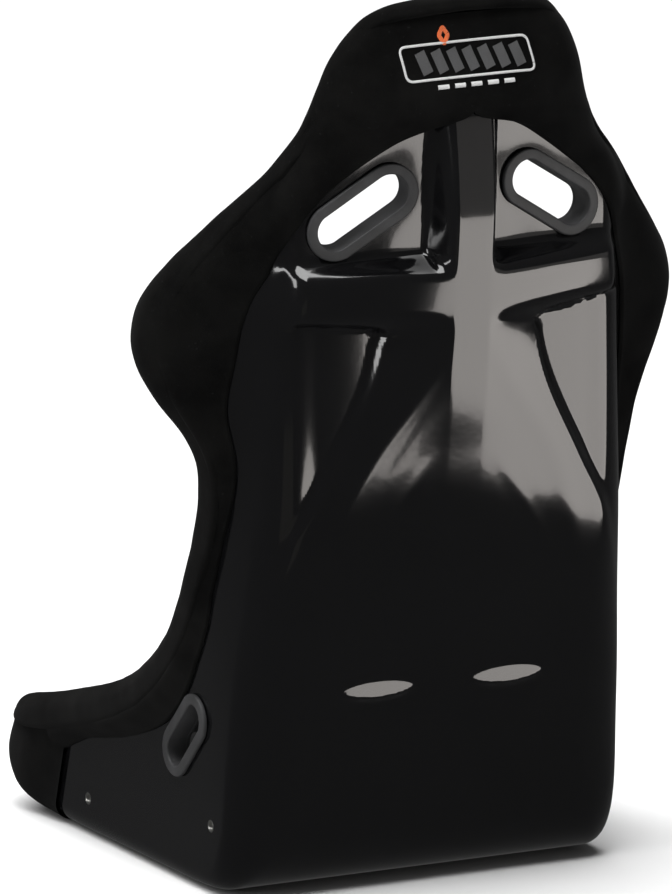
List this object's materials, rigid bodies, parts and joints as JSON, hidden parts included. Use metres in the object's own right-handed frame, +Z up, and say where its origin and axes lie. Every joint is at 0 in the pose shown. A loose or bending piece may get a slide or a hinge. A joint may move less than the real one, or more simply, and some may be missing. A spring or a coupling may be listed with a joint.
{
  "type": "racing bucket seat",
  "caption": "Fixed-back racing bucket seat: gloss moulded shell with an upholstered rim and lining, harness slots with trim rings, and threaded side-mount inserts.",
  "frame": {"origin": "centre of the seat's width on the flat base face, where the seat stands on the floor", "axes": "+Z up, the seat faces -Y, +X is the occupant's left"},
  "size_m": [0.6, 0.6049, 0.9129],
  "materials": {
    "gloss_shell": "gloss black gelcoat over glass fibre",
    "upholstery": "black short-pile seat fabric",
    "foam": "open-cell foam",
    "trim_plastic": "satin dark grey moulding",
    "zinc": "bright zinc plate",
    "plate_steel": "mill steel, laminated in",
    "hook_loop": "hook-and-loop tape",
    "emblem_thread": "embroidery thread"
  },
  "bodies": {
    "root": {"shell": "gloss_shell", "side_plate_left": "plate_steel", "side_plate_right": "plate_steel", "side_insert_left_front": "zinc", "side_insert_left_rear": "zinc", "side_insert_right_front": "zinc", "side_insert_right_rear": "zinc", "shoulder_trim_rear_left": "trim_plastic", "shoulder_trim_rear_right": "trim_plastic", "shoulder_trim_front_left": "trim_plastic", "shoulder_trim_front_right": "trim_plastic", "lap_trim_outer_left": "trim_plastic", "lap_trim_outer_right": "trim_plastic", "lap_trim_inner_left": "trim_plastic", "lap_trim_inner_right": "trim_plastic", "crotch_trim": "trim_plastic", "rim_foam": "foam", "rim_cover": "upholstery", "rear_leaf_left": "upholstery", "rear_leaf_right": "upholstery", "head_leaf": "upholstery", "front_leaf": "upholstery", "lining_foam": "foam", "lining_cloth": "upholstery", "seat_cushion_foam": "foam", "seat_cushion_cover": "upholstery", "back_cushion_foam": "foam", "back_cushion_cover": "upholstery", "head_pad_foam": "foam", "head_pad_cover": "upholstery", "thigh_bolster_left": "upholstery", "thigh_bolster_right": "upholstery", "torso_bolster_left": "upholstery", "torso_bolster_right": "upholstery", "cushion_strips": "hook_loop", "head_emblem": "emblem_thread"}
  },
  "joints": []
}
